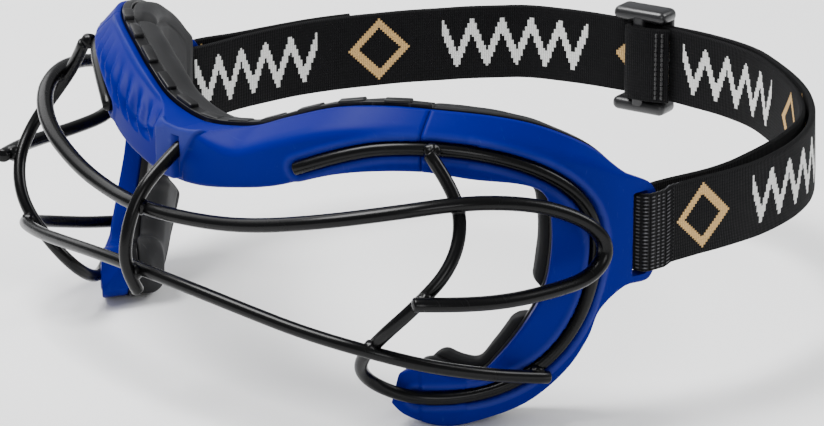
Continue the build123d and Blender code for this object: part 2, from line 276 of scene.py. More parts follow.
def ring_grid(bm, rows, ring):
    """Adds a grid to be bent into a tube. Returns each vertex's row and place in the row's ring."""
    bmesh.ops.create_grid(bm, x_segments=rows, y_segments=ring, size=1.0)
    return {vert: (round((vert.co.x + 1) / 2 * rows), round((vert.co.y + 1) / 2 * ring) % ring)
            for vert in bm.verts}


def closed(bm):
    """Joins a tube's seam and fills its ends."""
    bmesh.ops.remove_doubles(bm, verts=bm.verts, dist=1e-6)
    bmesh.ops.holes_fill(bm, edges=[edge for edge in bm.edges if edge.is_boundary], sides=0)
    return bm


def lofted(table, marks=None):
    """A closed mesh through rows of points, each row a ring. The marks become an attribute."""
    bm = bmesh.new()
    height = bm.verts.layers.float.new("relief") if marks else None
    for vert, (i, j) in ring_grid(bm, len(table) - 1, len(table[0])).items():
        vert.co = table[i][j]
        if marks:
            vert[height] = marks[i][j]
    return closed(bm)


def rod(points, wide, deep):
    """A bent rod with an oval section and rounded ends, its flat side facing away from the head."""
    line = smooth_route([at(*point) for point in points])
    last, ring, ends, blunt = len(line) - 1, 20, 3, 0.35
    tangents = [(b - a).normalized() for a, b in zip(line, line[1:])]
    tangents.append(tangents[-1])
    table = []
    for row in range(last + 2 * ends + 1):
        i = min(max(row - ends, 0), last)
        over = max(ends - row, row - ends - last, 0) / ends
        point, tangent = line[i], tangents[i]
        out = Vector((point.x, point.y - 0.03, 0)).normalized()
        out = (out - tangent * out.dot(tangent)).normalized()
        up = tangent.cross(out)
        swell = (1 - over ** 2) ** 0.5 if over < 1 else 0.02
        end = tangent * (blunt * deep * MM * 0.5 * over * (-1 if row < ends else 1))
        angles = [2 * pi * step / ring for step in range(ring)]
        across, tall = out * (deep * MM / 2 * swell), up * (wide * MM / 2 * swell)
        table.append([point + end + across * cos(angle) + tall * sin(angle) for angle in angles])
    return lofted(table)


def section(width, depth, ridge=None, facet=0.0, corner=0.9, front_steps=40, facet_steps=14):
    """The outline of a band cut across, as places (across, inwards), from its eye edge outwards.

    The front ends in a facet from the ridge back to the outer edge."""
    ridge = width - corner if ridge is None else ridge
    bend = np.linspace(0.0, pi / 2, 5)
    outline = [(corner * (1 - cos(a)), corner * (1 - sin(a))) for a in bend]
    top = min(facet, depth - 2 * corner)
    rim = width - corner * 0.3
    soften = min(1.6, (rim - ridge) * 0.5)
    flat_end = ridge - soften
    outline += [(corner + (flat_end - corner) * i / front_steps, 0.0)
                for i in range(1, front_steps + 1)]
    share = soften / max(rim - ridge, 0.01)
    for t in (0.2, 0.4, 0.6, 0.8, 1.0):
        outline.append((flat_end * (1 - t) ** 2 + ridge * 2 * t * (1 - t) + (ridge + soften) * t * t,
                        top * share * t * t))
    outline += [(ridge + (rim - ridge) * t, top * t)
                for t in np.linspace(share, 0.97, facet_steps + 1)[1:]]
    outline += [(width - corner * (0.3 - 0.3 * sin(a)), top + corner * (1 - cos(a)))
                for a in bend[1:]]
    outline += [(width - corner * (1 - cos(a)), depth - corner * (1 - sin(a))) for a in bend]
    outline += [(width - corner - (width - 2 * corner) * i / 8, depth) for i in range(1, 9)]
    outline += [(corner * (1 - sin(a)), depth - corner * (1 - cos(a))) for a in bend[1:-1]]
    return outline


def thickness(arc, front_inset, back_inset):
    """How thick the wall is at a place round it, in millimetres."""
    angle = float(np.interp(abs(arc), ARC, ANGLES))
    dx, dy = back_inset[0] - front_inset[0], back_inset[1] - front_inset[1]
    return ((dx * sin(angle)) ** 2 + (dy * cos(angle)) ** 2) ** 0.5


def band_at(station, way=1):
    """The places of the band's eye edge and outer edge at a station."""
    eye, outer = along(EYE_EDGE, station), along(OUTER_EDGE, station)
    return eye * (way, 1), outer * (way, 1)


def shell_mesh(stations, relief, front_inset, back_inset, edges, shape, crown=None):
    """A closed wall piece lofted along the band: its outline at each station, bent round the face.

    relief(place, across, travel) raises or sinks the front and its facet, where travel is the
    share of the way over the surface from the eye's edge. crown does the same for the back."""
    table, marks = [], []
    for station in stations:
        eye, outer = edges(abs(station), -1 if station < 0 else 1)
        width = float(np.linalg.norm(outer - eye))
        slope = (outer - eye) / width
        depth = thickness(((eye + outer) / 2)[0], front_inset, back_inset)
        outline = shape(abs(station), width, depth)
        steps = np.linalg.norm(np.diff(np.array(outline), axis=0), axis=1)
        travels = np.concatenate([[0.0], np.cumsum(steps)])
        total = travels[int(np.argmax([spot[1] for spot in outline]))]
        row, row_marks = [], []
        for i, (across, inward) in enumerate(outline):
            before, after = outline[i - 1], outline[(i + 1) % len(outline)]
            rise, run = after[1] - before[1], after[0] - before[0]
            size = max((rise * rise + run * run) ** 0.5, 1e-6)
            place = eye + slope * across
            facing = run / size
            height = 0.0
            if relief and facing > 0.1:
                height = relief(place, across, travels[i] / total) * ease(0.1, 0.4, facing)
            elif crown and facing < -0.1:
                height = -crown(place, across, width) * ease(0.1, 0.4, -facing)
            share = inward / depth
            inset = tuple(f + (b - f) * share for f, b in zip(front_inset, back_inset))
            spot = place + slope * (rise / size * height)
            row.append(on_wall(spot[0], spot[1], inset, facing * height))
            row_marks.append(height)
        table.append(row)
        marks.append(row_marks)
    return lofted(table, marks)


# Relief of the blue moulding. Heights are in millimetres above the plain wall.

def groove_bed():
    """How far the perimeter wire's middle stands out of the wall, along the groove."""
    beds = []
    for p in GROOVE_ROUTE:
        gap = float(np.hypot(PLAN[:, 0] - p.x, PLAN[:, 1] - p.y).min())
        round_wall = abs(p.x / HALF_WIDTH) ** PLAN_ROUNDNESS + abs(p.y / REACH) ** PLAN_ROUNDNESS
        beds.append(gap if round_wall > 1 and p.y < 0 else -gap)
    return beds


BED = groove_bed()
GROOVE_RADIUS = 1.75
LIP = 2.7
SEAM_ARC = front(SEAM_X, 0)[0]
# The nose cover's edge: how far round the wall, and the height.
NOSE_COVER = np.array([
    (0.0, 8.0), (0.6, 9.6), (1.4, 13.5), (3.7, 17.7), (5.8, 20.6), (9.1, 22.7), (9.6, 24.0),
])
RIB_COUNT = 9


def nearest_on(line, place):
    """The distance from a place to a line of places, and which of its points is nearest."""
    a, b = line[:-1], line[1:]
    d = b - a
    t = np.clip(((place - a) * d).sum(1) / (d * d).sum(1), 0, 1)
    gaps = np.sqrt((((place - a) - t[:, None] * d) ** 2).sum(1))
    nearest = int(gaps.argmin())
    return float(gaps[nearest]), nearest


def bump(distance, width):
    """1 at no distance, easing to 0 at the width."""
    return 1 - ease(0.0, width, abs(distance))


def shell_relief(place, across, travel, ribs=False):
    """The height of the moulding at a place: groove, lips, ribs, nose cover and seam."""
    arc, z = abs(place[0]), place[1]
    gap, nearest = nearest_on(GROOVE, np.array((arc, z)))
    height = (0.6 if arc > ARC[-1] * 0.62 else 0.35) * bump(gap - LIP, 1.3)
    if gap < GROOVE_RADIUS:
        height = min(height, BED[nearest] - (GROOVE_RADIUS ** 2 - gap ** 2) ** 0.5)
    if arc < 26:
        left = float(np.interp(z, NOSE_COVER[:, 1], NOSE_COVER[:, 0]))
        low, high = (left - 0.3, left + 0.5) if place[0] >= 0 else (7.6, 8.4)
        cover = 1 - ease(low, high, arc)
        height += 0.75 * cover * ease(0.0, 0.8, across) * (gap > GROOVE_RADIUS)
        if arc < 1.8 and z < 19.5:
            height -= 0.9 * bump(arc, 1.8)
    height -= 0.35 * bump(arc - SEAM_ARC, 0.45) * (gap > GROOVE_RADIUS)
    if ribs and 9.5 < arc < SEAM_ARC - 3 and place[0] < 0:
        height += rib_relief(arc, travel, gap)
    return height


def rib_relief(arc, travel, gap):
    """Diagonal flutes from under the top rim down over the ridge, deepest by the nose."""
    low, high = 0.30, 0.80
    rim = 0.35 * bump(travel - 0.88, 0.07)
    if not low < travel < high:
        return rim
    pitch = (SEAM_ARC - 14) / RIB_COUNT
    wave = ((arc - 10.5) / pitch - (travel - low) / (high - low) * 1.3) % 1.0
    flute = ease(0.0, 0.22, wave) * (1 - ease(0.34, 0.95, wave))
    edge = ease(low, low + 0.10, travel) * (1 - ease(high - 0.30, high, travel))
    edge *= ease(9.0, 11.5, arc) * (1 - ease(SEAM_ARC - 7, SEAM_ARC - 3.5, arc))
    edge *= ease(2.2, 3.4, gap)
    deep = 0.8 + 0.7 * (1 - ease(20, 42, arc))
    return rim - deep * edge * flute


def brow_relief(place, across, travel):
    """The brow's relief, with its ribs."""
    return shell_relief(place, across, travel, ribs=True)


def ridge_section(station, width, depth):
    """The shell's outline: the facet along its top fades out behind the temple and at the nose."""
    strength = ease(0.6, 2.2, station) * (1 - ease(8.6, 10.6, station))
    hook = ease(18.5, 20.0, station)
    ridge = width - 0.9 - strength * min(3.6, width * 0.26)
    return section(width, depth, ridge, facet=strength * (depth - 1.9) + 0.02 * (1 + hook))


def slot_cutter(low, high, radius=0.7):
    """A rounded block that cuts the strap's slot."""
    bm = bmesh.new()
    bmesh.ops.create_cube(bm, size=1.0)
    middle, size = (low + high) / 2, high - low
    bmesh.ops.scale(bm, vec=size, verts=bm.verts)
    bmesh.ops.translate(bm, vec=middle, verts=bm.verts)
    upright = [edge for edge in bm.edges
               if abs((edge.verts[0].co - edge.verts[1].co).normalized().x) > 0.9]
    bmesh.ops.bevel(bm, geom=upright, offset=radius * MM, segments=4, profile=0.5, affect="EDGES",
                    material=-1)
    bmesh.ops.recalc_face_normals(bm, faces=bm.faces)
    mesh = bpy.data.meshes.new("slot_cutter")
    bm.to_mesh(mesh)
    bm.free()
    cutter = bpy.data.objects.new("slot_cutter", mesh)
    bpy.context.scene.collection.objects.link(cutter)
    return cutter


def cut_by(piece, cutter):
    """Cuts one object's shape out of another and keeps the result as its mesh."""
    cut = piece.modifiers.new("cut", "BOOLEAN")
    cut.operation = "DIFFERENCE"
    cut.object = cutter
    cut.solver = "EXACT"
    bpy.context.view_layer.update()
    result = bpy.data.meshes.new_from_object(
        piece.evaluated_get(bpy.context.evaluated_depsgraph_get()))
    piece.modifiers.clear()
    piece.data = result
    bpy.data.objects.remove(cutter)


# Finishes. Each effect used by more than one material is a node group.

def node(tree, kind, values=None, **settings):
    """Adds a shader node with its settings and socket values."""
    made = tree.nodes.new(kind)
    for name, value in settings.items():
        setattr(made, name, value)
    for name, value in (values or {}).items():
        made.inputs[name].default_value = value
    return made


def maths(tree, operation, *given, clamp=False):
    """Adds a Math node on numbers or sockets, and returns its result."""
    made = node(tree, "ShaderNodeMath", operation=operation, use_clamp=clamp)
    for slot, value in enumerate(given):
        if isinstance(value, (int, float)):
            made.inputs[slot].default_value = value
        else:
            tree.links.new(value, made.inputs[slot])
    return made.outputs[0]


def new_group(name, inputs, outputs):
    """Starts a node group of numbers, with named inputs and their defaults, and named outputs."""
    group = bpy.data.node_groups.new(name, "ShaderNodeTree")
    for title, value in inputs:
        group.interface.new_socket(name=title, in_out="INPUT",
                                   socket_type="NodeSocketFloat").default_value = value
    for title in outputs:
        group.interface.new_socket(name=title, in_out="OUTPUT", socket_type="NodeSocketFloat")
    return group, node(group, "NodeGroupInput"), node(group, "NodeGroupOutput")


def grain_group():
    """A fine moulded or sprayed grain: a height, a slow mottle and fine scratches."""
    if "surface_grain" in bpy.data.node_groups:
        return bpy.data.node_groups["surface_grain"]
    group, given, result = new_group(
        "surface_grain",
        [("Grain Scale", 2600.0), ("Mottle Scale", 60.0), ("Scratch Scale", 130.0)],
        ["Height", "Mottle", "Scratches"])
    links = group.links
    place = node(group, "ShaderNodeTexCoord").outputs["Object"]
    turned = node(group, "ShaderNodeMapping",
                  {"Rotation": (0.5, 0.9, 0.4), "Scale": (1.0, 14.0, 3.0)})
    links.new(place, turned.inputs["Vector"])

    def texture(scale, source, values):
        made = node(group, "ShaderNodeTexNoise", values)
        links.new(source, made.inputs["Vector"])
        links.new(given.outputs[scale], made.inputs["Scale"])
        return made.outputs["Fac"]

    fine = texture("Grain Scale", place, {"Detail": 3.0, "Roughness": 0.6})
    slow = texture("Mottle Scale", place, {"Detail": 4.0, "Roughness": 0.55})
    links.new(fine, result.inputs["Height"])
    links.new(slow, result.inputs["Mottle"])
    lines = texture("Scratch Scale", turned.outputs[0],
                    {"Detail": 2.0, "Roughness": 0.5, "Distortion": 0.3})
    thin = maths(group, "MULTIPLY", maths(group, "SUBTRACT", lines, 0.66), 9.0, clamp=True)
    links.new(thin, result.inputs["Scratches"])
    return group


def relief_light_group():
    """Painted shade for low places, and rubbed edges with painted highlight for high places, from a
    piece's relief attribute.
    """
    if "rubbed_edges_and_painted_light" in bpy.data.node_groups:
        return bpy.data.node_groups["rubbed_edges_and_painted_light"]
    group, _, result = new_group("rubbed_edges_and_painted_light", [], ["Low", "High"])
    relief = node(group, "ShaderNodeAttribute", attribute_name="relief").outputs["Fac"]
    for title, share in (("Low", -1.1), ("High", 1.4)):
        group.links.new(maths(group, "MULTIPLY", relief, share, clamp=True), result.inputs[title])
    return group


def grouped(tree, group, values=None):
    """Places a node group in a material."""
    return node(tree, "ShaderNodeGroup", values, node_tree=group)


def mixed(tree, a, b, share):
    """Adds a colour mix of colours or sockets by a socket or number."""
    made = node(tree, "ShaderNodeMix", data_type="RGBA")
    for slot, value in ((6, a), (7, b), (0, share)):
        if hasattr(value, "is_output"):
            tree.links.new(value, made.inputs[slot])
        else:
            made.inputs[slot].default_value = value if slot == 0 else (*value[:3], 1.0)
    return made.outputs[2]


def ranged(tree, value, low, high):
    """Spreads a 0 to 1 value over a range."""
    made = node(tree, "ShaderNodeMapRange")
    tree.links.new(value, made.inputs[0])
    made.inputs["To Min"].default_value = low
    made.inputs["To Max"].default_value = high
    return made.outputs[0]


def bumped(tree, height, strength, distance):
    """Adds a Bump node."""
    made = node(tree, "ShaderNodeBump", {"Strength": strength, "Distance": distance})
    tree.links.new(height, made.inputs["Height"])
    return made.outputs["Normal"]


def new_finish(name):
    """Starts a material: its node tree and its Principled BSDF."""
    material = bpy.data.materials.new(name)
    material.use_nodes = True
    tree = material.node_tree
    return material, tree, tree.nodes["Principled BSDF"]


def moulding_finish(name, colour, roughness, grain=2600.0, coat=0.0, grain_height=0.00003,
                    specular=0.5, scuff_and_highlight=(0.55, 0.56, 0.6), shade_strength=0.25, scuffed=0.06):
    """Moulded plastic or sprayed metal: grain, mottled sheen, faint scratches, painted shade in low
    places, and rubbed edges with painted highlight on high places.
    """
    if name in bpy.data.materials:
        return bpy.data.materials[name]
    material, tree, shader = new_finish(name)
    surface = grouped(tree, grain_group(), {"Grain Scale": grain}).outputs
    shade_and_highlight = grouped(tree, relief_light_group()).outputs
    tone = mixed(tree, [c * 0.86 for c in colour], colour, surface["Mottle"])
    # Low places of the relief take a darker copy of the colour: painted shade in the grooves.
    low = maths(tree, "MULTIPLY", shade_and_highlight["Low"], shade_strength)
    tone = mixed(tree, tone, [c * 0.55 for c in colour], low)
    # High places go a little towards the scuff colour: rubbed edges, partly painted highlight on the
    # lips.
    highlight_tone = [c + (d - c) * 0.16 for c, d in zip(colour, scuff_and_highlight)]
    high = maths(tree, "MULTIPLY", shade_and_highlight["High"], surface["Mottle"])
    tone = mixed(tree, tone, highlight_tone, maths(tree, "MULTIPLY", high, 0.5))
    tone = mixed(tree, tone, scuff_and_highlight, maths(tree, "MULTIPLY", surface["Scratches"], scuffed))
    rough = ranged(tree, surface["Mottle"], roughness * 0.8, roughness * 1.2)
    rough = maths(tree, "ADD", rough, maths(tree, "MULTIPLY", surface["Scratches"], 0.12))
    tree.links.new(tone, shader.inputs["Base Color"])
    tree.links.new(rough, shader.inputs["Roughness"])
    tree.links.new(bumped(tree, surface["Height"], 0.5, grain_height), shader.inputs["Normal"])
    shader.inputs["Specular IOR Level"].default_value = specular
    shader.inputs["Coat Weight"].default_value = coat
    shader.inputs["Coat Roughness"].default_value = 0.12
    return material


# The strap's pattern, in millimetres: the woven cell and the repeat, where the ribbed wrap lies
# along the strap, and the zigzag's and the diamond's places in the repeat.
CELL, REPEAT = 0.62, 74.0
WRAP_START, WRAP_END = 365.5, 377.0
ZIGZAG_MIDDLE, ZIGZAG_REACH, TOOTH, ZIGZAG_WIDTH, ZIGZAG_TOP = -14.0, 20.0, 8.0, 2.5, 6.6
DIAMOND_MIDDLE, DIAMOND_OUTER, DIAMOND_INNER = 23.0, 8.4, 5.6


def webbing_finish(paint):
    """Woven elastic on the strap's own UV, in metres along and across: threads with painted shade
    between them, ribs and motifs.
    """
    if "woven_elastic" in bpy.data.materials:
        return bpy.data.materials["woven_elastic"]
    material, tree, shader = new_finish("woven_elastic")
    links = tree.links

    def value(operation, *given, clamp=False):
        return maths(tree, operation, *given, clamp=clamp)

    def product(first, *factors):
        for factor in factors:
            first = value("MULTIPLY", first, factor)
        return first

    def total(first, *terms):
        for term in terms:
            first = value("ADD", first, term)
        return first

    def gap(a, b):
        return value("ABSOLUTE", value("SUBTRACT", a, b))

    def sine(place, length):
        return value("SINE", product(place, 2 * pi / length))

    def cells(place):
        return product(value("FLOOR", value("DIVIDE", place, CELL)), CELL)

    uv = node(tree, "ShaderNodeUVMap", uv_map="weave").outputs[0]
    parts = node(tree, "ShaderNodeSeparateXYZ")
    links.new(uv, parts.inputs[0])
    along_mm, across_mm = (product(parts.outputs[i], 1000.0) for i in (0, 1))
    picks, warps = sine(along_mm, 1.15), sine(across_mm, 1.6)
    threads = total(product(value("ABSOLUTE", product(picks, warps)), 0.6),
                    product(value("ABSOLUTE", picks), 0.5))

    # A plain zigzag over one part of each repeat, and a plain open diamond in the rest.
    from_middle = value("SUBTRACT", cells(across_mm), STRAP_WIDTH / 2)
    height = value("ABSOLUTE", from_middle)
    here = value("MODULO", total(cells(along_mm), REPEAT * 4), REPEAT)
    here = value("SUBTRACT", here, REPEAT / 2)
    plain = value("LESS_THAN", along_mm, WRAP_START)
    wave = gap(value("MODULO", total(here, REPEAT), TOOTH), TOOTH / 2)
    wave = value("SUBTRACT", product(wave, 2.5), 5.0)
    zigzag = product(value("LESS_THAN", gap(from_middle, wave), ZIGZAG_WIDTH),
                     value("LESS_THAN", gap(here, ZIGZAG_MIDDLE), ZIGZAG_REACH),
                     value("LESS_THAN", height, ZIGZAG_TOP), plain)
    diamond = total(gap(here, DIAMOND_MIDDLE), height)
    ring = product(value("LESS_THAN", diamond, DIAMOND_OUTER),
                   value("GREATER_THAN", diamond, DIAMOND_INNER), plain)
    ribs = product(value("ABSOLUTE", sine(along_mm, 3.0)),
                   value("GREATER_THAN", along_mm, WRAP_START),
                   value("LESS_THAN", along_mm, WRAP_END))

    fuzz, slow = (node(tree, "ShaderNodeTexNoise", values) for values in (
        {"Scale": 900.0, "Detail": 4.0, "Roughness": 0.7}, {"Scale": 70.0, "Detail": 2.0}))
    for texture in (fuzz, slow):
        links.new(uv, texture.inputs["Vector"])
    fuzz, slow = fuzz.outputs["Fac"], slow.outputs["Fac"]
    # The ground goes darker between the raised threads: painted shade between the threads.
    ground = mixed(tree, paint.webbing_thread_shade, paint.webbing_light, product(threads, fuzz))
    ground = mixed(tree, ground, paint.webbing_light, product(slow, 0.25))
    dashes = value("MULTIPLY", sine(across_mm, 0.9), product(fuzz, 1.5), clamp=True)
    tone = mixed(tree, ground, (0.16, 0.16, 0.17), product(dashes, value("POWER", ribs, 3.0)))
    shade = ranged(tree, threads, 0.55, 1.0)
    for motif, colour, dark in ((zigzag, paint.motif_white, 0.4), (ring, paint.motif_gold, 0.35)):
        tone = mixed(tree, tone, mixed(tree, [c * dark for c in colour], colour, shade), motif)
    raised = total(threads, product(total(zigzag, ring), 0.35), product(fuzz, 0.25),
                   product(ribs, 2.2))
    links.new(tone, shader.inputs["Base Color"])
    links.new(bumped(tree, raised, 0.9, 0.00022), shader.inputs["Normal"])
    links.new(ranged(tree, fuzz, 0.68, 0.92), shader.inputs["Roughness"])
    shader.inputs["Sheen Weight"].default_value = 0.01
    shader.inputs["Sheen Roughness"].default_value = 0.5
    shader.inputs["Specular IOR Level"].default_value = 0.07
    return material


def thread_finish(colour):
    """Twisted thread: fine diagonal plies and a soft sheen."""
    if "sewing_thread" in bpy.data.materials:
        return bpy.data.materials["sewing_thread"]
    material, tree, shader = new_finish("sewing_thread")
    surface = grouped(tree, grain_group(), {"Grain Scale": 4200.0}).outputs
    place = node(tree, "ShaderNodeTexCoord").outputs["Object"]
    plies = node(tree, "ShaderNodeTexWave", {"Scale": 900.0, "Distortion": 1.5},
                 bands_direction="DIAGONAL")
    tree.links.new(place, plies.inputs["Vector"])
    plies = plies.outputs["Fac"]
    tone = mixed(tree, [c * 0.6 for c in colour], colour, plies)
    tree.links.new(tone, shader.inputs["Base Color"])
    height = maths(tree, "ADD", plies, surface["Height"])
    tree.links.new(bumped(tree, height, 0.6, 0.00006), shader.inputs["Normal"])
    tree.links.new(ranged(tree, surface["Mottle"], 0.55, 0.75), shader.inputs["Roughness"])
    shader.inputs["Sheen Weight"].default_value = 0.2
    return material


# Inner frame and pads.

REAR_LIMIT = side(-7.5, 0)[0]
TEMPLE_END = 16.25
CHEEK_START = 16.8


def inner_edges(station, way=1, growth=0.0, limits=(), blunt=5.0, inward=0.0):
    """The edges of a piece behind the shell: clipped ahead of the slot, rounded at its limits.

    Inward is how far its eye edge shows inside the eye opening, away from its limits."""
    eye, outer = band_at(station)
    outer[0] = min(outer[0], REAR_LIMIT)
    across = (outer - eye) / np.linalg.norm(outer - eye)
    eye, outer = eye - across * growth, outer + across * growth
    middle = (eye + outer) / 2
    gaps = [float(np.linalg.norm(middle - sum(band_at(limit)) / 2)) for limit in limits]
    if inward:
        eye = eye - across * inward * ease(0.5, 7.0, min(gaps))
        middle = (eye + outer) / 2
    for gone in gaps:
        if gone < blunt:
            keep = max(1 - (1 - gone / blunt) ** 2, 0.02) ** 0.5
            eye, outer = middle + (eye - middle) * keep, middle + (outer - middle) * keep
    return eye * (way, 1), outer * (way, 1)


def stations_between(start, end, count):
    """Stations from start to end, closer together near the ends."""
    steps = 0.5 - 0.5 * np.cos(pi * np.linspace(0, 1, count))
    return [start + (end - start) * float(step) for step in steps]


def liner_section(station, width, depth):
    """The inner frame's outline."""
    return section(width, depth, corner=0.5, front_steps=8, facet_steps=2)


def pad_section(start, end):
    """Builds a pad's outline: small corners on the inner frame, full round ones towards the face."""
    def outline(station, width, depth):
        gone = min(abs(station - start), abs(end - station))
        keep = 0.5 + 0.5 * ease(0.0, 0.55, gone)
        tight = min(0.9, width * 0.2)
        full = min(width * 0.46, depth * 0.62)
        bend = np.linspace(0.0, pi / 2, 5)
        round_bend = np.linspace(0.0, pi / 2, 12)
        places = [(tight * (1 - cos(a)), tight * (1 - sin(a))) for a in bend]
        places += [(tight + (width - 2 * tight) * i / 10, 0.0) for i in range(1, 11)]
        places += [(width - tight * (1 - sin(a)), tight * (1 - cos(a))) for a in bend[1:]]
        places += [(width - full * (1 - cos(a)), depth - full * (1 - sin(a))) for a in round_bend]
        places += [(width - full - (width - 2 * full) * i / 16, depth) for i in range(1, 17)]
        places += [(full * (1 - sin(a)), depth - full * (1 - cos(a))) for a in round_bend[1:]]
        return [(across, inward * keep) for across, inward in places]
    return outline


def pad_swell(place, across, width):
    """A pad's face: crowned, with a shallow moulded channel a little inside its edge."""
    middle = (across / width - 0.5) * 2
    swell = 1.0 - min(abs(middle), 1.0) ** 2.4
    channel = 0.8 * bump(across - width * 0.70, 0.9)
    wander = 0.25 * noise.noise(Vector((place[0] * 0.11, place[1] * 0.13, 0.0)))
    return -(swell - channel + wander)


def inner_mesh(stations, insets, shape, growth, limits=(), blunt=5.0, way=1, inward=0.0,
               crown=None):
    """A stretch of the inner frame or a pad, lofted along the band."""
    def edges(station, facing):
        return inner_edges(station, facing, growth, limits, blunt, inward)

    if way < 0:
        stations = [-station for station in reversed(stations)]
    return shell_mesh(stations, None, *insets, edges, shape, crown)


# The strap's plan, counted from the middle between the slots.
INNER_X, OUTER_X = 78.3, 84.1
STRAP_PITCH = 1.9
MAIN = [
    (-INNER_X, 4.55), (-79.4, 17.0), (-77.0, 36.0), (-67.0, 56.0), (-54.0, 75.0), (-40.0, 91.0),
    (16.0, 104.5), (43.0, 92.0), (66.5, 76.0), (81.5, 55.5), (85.6, 30.0), (OUTER_X, 4.55),
]
FAR_TAIL = [(-73.0, 48.2), (-78.8, 36.6), (-81.3, 17.1), (-OUTER_X, 6.0)]
FAR_TURN = [(-OUTER_X, 2.0), (-83.9, -2.4), (-78.5, -2.4), (-INNER_X, 2.0)]
NEAR_TURN = [(OUTER_X, 2.0), (83.9, -2.4), (78.5, -2.4), (INNER_X, 2.0), (INNER_X, 5.0)]
SLIDER_MIDDLE = Vector((-12.0, 97.75, 0.0))
SLIDE_WAY = Vector((0.972157, 0.234359, 0.0))
OUTWARD = Vector((-0.234359, 0.972157, 0.0))
LOOP = [
    (9.2, -4.0), (6.0, -5.4), (1.6, -5.95), (-2.3, -5.8), (-3.2, -3.9), (-2.3, -1.95), (2.0, -1.9),
    (9.0, -1.9),
]


def slider_place(u, v, z=0.0):
    """A place beside the slider, counted from the middle between the slots."""
    spot = SLIDER_MIDDLE + SLIDE_WAY * u + OUTWARD * v
    return (spot.x, spot.y, z + strap_rise(spot.y))


def strap_rise(y):
    """How far the strap rides up behind the head."""
    return 1.8 * ease(15.0, 85.0, y)


def offset_line(line, distance):
    """A plan line moved sideways, to its left."""
    moved = []
    for i, point in enumerate(line):
        way = (line[min(i + 1, len(line) - 1)] - line[max(i - 1, 0)]).normalized()
        moved.append(point + Vector((-way.y, way.x, 0)) * distance)
    return moved


def resampled(line, step):
    """Points evenly along a line, no further apart than the step."""
    lengths = np.concatenate([[0.0], np.cumsum([(b - a).length for a, b in zip(line, line[1:])])])
    count = max(int(lengths[-1] / step), 2)
    places = np.linspace(0.0, lengths[-1], count + 1)
    columns = [np.interp(places, lengths, [point[k] for point in line]) for k in range(3)]
    return [Vector(row) for row in zip(*columns)], float(lengths[-1])


def strap_mesh(line, ripple, outer_shift, inner_shift, step_from_end=None):
    """Webbing on edge along a plan line: a rounded flat section with its weave on the UV map.

    The shifts move the pattern along each face. At the step from its end it rises off the wrap."""
    line, length = resampled(line, 0.8)
    half = STRAP_WIDTH / 2
    thick = STRAP_THICKNESS / 2
    ring = [(z, 1.0) for z in np.linspace(-half + 0.7, half - 0.7, 19)]
    ring += [(half - 0.35, 0.86), (half, 0.0), (half - 0.35, -0.86)]
    ring += [(-z, -out) for z, out in ring]
    count = len(line) - 1
    bm = bmesh.new()
    layer = bm.loops.layers.uv.new("weave")
    spots = ring_grid(bm, count, len(ring))
    for face in bm.faces:
        for loop in face.loops:
            i, j = spots[loop.vert]
            z, out = ring[j]
            shift = outer_shift if out > 0 else inner_shift
            loop[layer].uv = ((i / count * length + shift) * MM, (z + half) * MM)
    for vert, (i, j) in spots.items():
        z, out = ring[j]
        way = (line[min(i + 1, count)] - line[max(i - 1, 0)]).normalized()
        normal = Vector((-way.y, way.x, 0))
        place = i / count * length
        wave = ripple * noise.noise(Vector((place * 0.035, z * 0.05, ripple)))
        lift = 0.0
        if step_from_end is not None:
            lift = ease(step_from_end, step_from_end + 1.6, length - place)
            lift *= 1 - ease(step_from_end + 10.0, step_from_end + 40.0, length - place)
        spot = line[i] + normal * (out * thick + wave + 0.7 * lift)
        neck = 1 - 0.05 * ease(-0.2, 1.0, spot.x / HALF_WIDTH) * (1 - ease(20.0, 75.0, spot.y))
        rise = strap_rise(spot.y) + 1.1 * lift + 0.15 * noise.noise(Vector((place * 0.08, 3.0, 0.0)))
        vert.co = at(spot.x, spot.y, z * neck + rise)
    return closed(bm)


def rounded_block(bm, size, place, turn, radius, segments):
    """Adds a box with rounded edges to a bmesh, in millimetres, turned and put in place."""
    box = bmesh.new()
    bmesh.ops.create_cube(box, size=1.0)
    bmesh.ops.scale(box, vec=Vector(size) * MM, verts=box.verts)
    bmesh.ops.bevel(box, geom=box.edges, offset=radius * MM, segments=segments, profile=0.5,
                    affect="EDGES", material=-1)
    bmesh.ops.rotate(box, cent=(0, 0, 0), matrix=turn, verts=box.verts)
    bmesh.ops.translate(box, vec=at(*place), verts=box.verts)
    mesh = bpy.data.meshes.new("block")
    box.to_mesh(mesh)
    box.free()
    bm.from_mesh(mesh)
    bpy.data.meshes.remove(mesh)


def stitch_row(bm, start, end, normal, rise):
    """Adds a row of thread stitches: short rounded bars, each a little askew."""
    count, width = 14, 0.55
    start, normal = Vector(start), Vector(normal)
    step = (Vector(end) - start) / count
    for i in range(count):
        middle = start + step * (i + 0.5)
        way = step.normalized()
        lean = 0.10 * noise.noise(middle * 3.1)
        way = (way + normal.cross(way).normalized() * lean).normalized()
        turn = Matrix((way, normal.cross(way).normalized(), normal)).transposed()
        rounded_block(bm, (step.length * 0.86, width, width), middle + normal * rise, turn,
                      width * 0.42, 2)


def weld_bead(bm, place, radius, seed):
    """Adds a small lumpy weld bead."""
    bead = bmesh.ops.create_icosphere(bm, subdivisions=4, radius=radius * MM)
    for vert in bead["verts"]:
        way = vert.co.normalized()
        lump = noise.noise(way * 1.6 + Vector((seed, 0, 0))) * 0.14 + noise.noise(way * 4.1) * 0.03
        vert.co = vert.co * (1 + lump) + at(*place)


def crossing(first, second, near):
    """The point midway between two rods where they pass nearest to each other by a place."""
    close = [p for p in first if (p - Vector(near)).length < 9]
    a = min(close, key=lambda p: min((p - q).length for q in second))
    b = min(second, key=lambda q: (a - q).length)
    return (a + b) / 2


# What a user can change.

